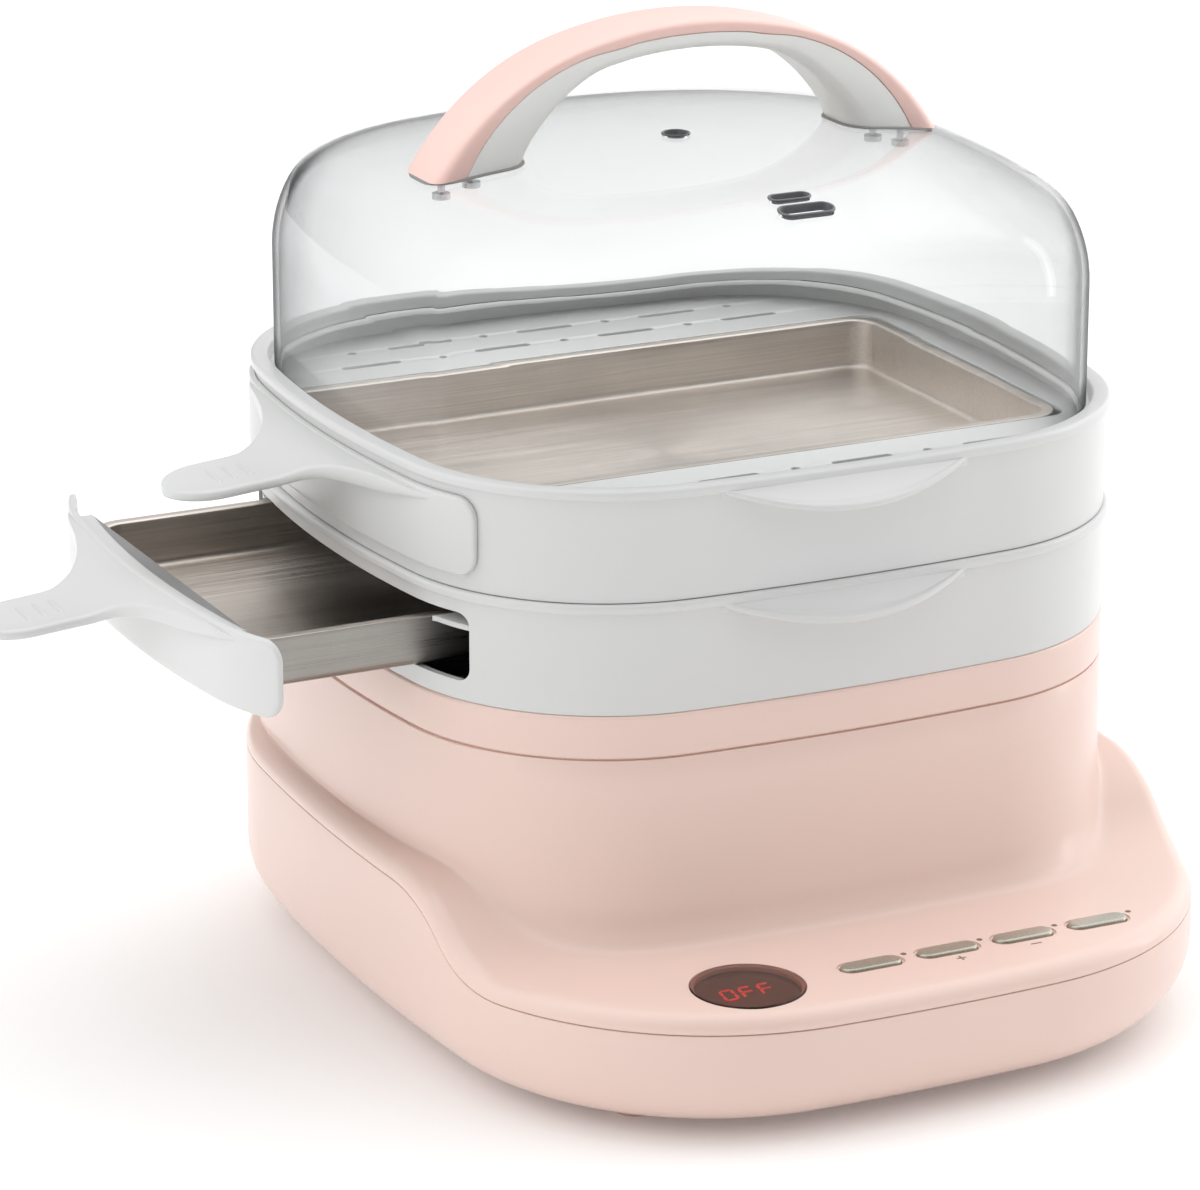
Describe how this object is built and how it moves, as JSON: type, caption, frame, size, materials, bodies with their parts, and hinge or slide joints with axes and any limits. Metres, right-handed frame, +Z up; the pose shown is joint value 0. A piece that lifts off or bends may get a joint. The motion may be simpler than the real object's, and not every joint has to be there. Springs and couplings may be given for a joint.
{
  "type": "rice noodle roll steamer",
  "caption": "Countertop steamer: pull-out noodle-roll trays in stacked square tiers, clear domed lid with arched handle, rounded base with round display and keys.",
  "frame": {"origin": "on the plane of the feet's undersides, straight below the vertical axis through the middle of the square tiers and the lid", "axes": "+Z up; +Y to the rear, so the display and keys face -Y; the trays pull out along -X"},
  "size_m": [0.437, 0.3838, 0.3605],
  "materials": {
    "white_shell": "satin",
    "pink_shell": "satin",
    "pan_steel": "brushed",
    "clear_dome": "polished",
    "dark_lens": "gloss",
    "key_metallic": "satin metallic",
    "digit_red": "gloss",
    "light_pipe": "gloss",
    "foot_rubber": "matte",
    "seal_rubber": "matte",
    "screw_steel": "plated",
    "basin_metal": "satin",
    "heater_metal": "cast",
    "shield_metal": "satin",
    "board": "matte",
    "dark_plastic": "matte",
    "inner_plastic": "matte"
  },
  "bodies": {
    "base": {"top_housing": "pink_shell", "bottom_bowl": "pink_shell", "feet": "foot_rubber", "foot_screws": "screw_steel", "housing_screws": "screw_steel", "basin_ring": "pink_shell", "basin_seal": "seal_rubber", "water_basin": "basin_metal", "heater_plate": "heater_metal", "heater_tube": "screw_steel", "heater_clips": "screw_steel", "thermostat": "inner_plastic", "thermal_fuse": "inner_plastic", "ntc_sensor": "screw_steel", "heat_shield": "shield_metal", "power_board": "board", "transformer": "dark_plastic", "relay": "dark_plastic", "capacitors": "dark_plastic", "terminal_block": "inner_plastic", "board_screws": "screw_steel", "control_board": "board", "display_module": "dark_plastic", "display_lens": "dark_lens", "display_digits": "digit_red", "tact_switches": "dark_plastic", "indicator_lights": "light_pipe", "control_cable": "inner_plastic", "cord_gland": "dark_plastic", "heater_leads": "seal_rubber"},
    "button_1": {"button_1": "key_metallic"},
    "button_2": {"button_2": "key_metallic"},
    "button_3": {"button_3": "key_metallic"},
    "button_4": {"button_4": "key_metallic"},
    "lower_tier": {"lower_tier_shell": "white_shell"},
    "upper_tier": {"upper_tier_shell": "white_shell"},
    "lower_tray": {"lower_tray_pan": "pan_steel", "lower_tray_front": "white_shell", "lower_tray_screws": "screw_steel"},
    "upper_tray": {"upper_tray_pan": "pan_steel", "upper_tray_front": "white_shell", "upper_tray_screws": "screw_steel"},
    "lid": {"lid_dome": "clear_dome", "handle_cover": "pink_shell", "handle_base": "white_shell", "handle_gaskets": "seal_rubber", "handle_screws": "screw_steel"}
  },
  "joints": [
    {"name": "lower_tier_lift", "type": "slide", "parent": "base", "child": "lower_tier", "axis": [0, 0, 1], "range_m": [0, 0.08]},
    {"name": "upper_tier_lift", "type": "slide", "parent": "lower_tier", "child": "upper_tier", "axis": [0, 0, 1], "range_m": [0, 0.08]},
    {"name": "lid_lift", "type": "slide", "parent": "upper_tier", "child": "lid", "axis": [0, 0, 1], "range_m": [0, 0.15]},
    {"name": "lower_tray_slide", "type": "slide", "parent": "lower_tier", "child": "lower_tray", "axis": [-1, 0, 0], "range_m": [-0.075, 0.2]},
    {"name": "upper_tray_slide", "type": "slide", "parent": "upper_tier", "child": "upper_tray", "axis": [-1, 0, 0], "range_m": [0, 0.275]},
    {"name": "button_1_press", "type": "slide", "parent": "base", "child": "button_1", "axis": [0, 0, -1], "range_m": [0, 0.0008], "stiffness_N_per_m": 900, "springref_m": -0.0003},
    {"name": "button_2_press", "type": "slide", "parent": "base", "child": "button_2", "axis": [0, 0, -1], "range_m": [0, 0.0008], "stiffness_N_per_m": 900, "springref_m": -0.0003},
    {"name": "button_3_press", "type": "slide", "parent": "base", "child": "button_3", "axis": [0, 0, -1], "range_m": [0, 0.0008], "stiffness_N_per_m": 900, "springref_m": -0.0003},
    {"name": "button_4_press", "type": "slide", "parent": "base", "child": "button_4", "axis": [0, 0, -1], "range_m": [0, 0.0008], "stiffness_N_per_m": 900, "springref_m": -0.0003}
  ]
}
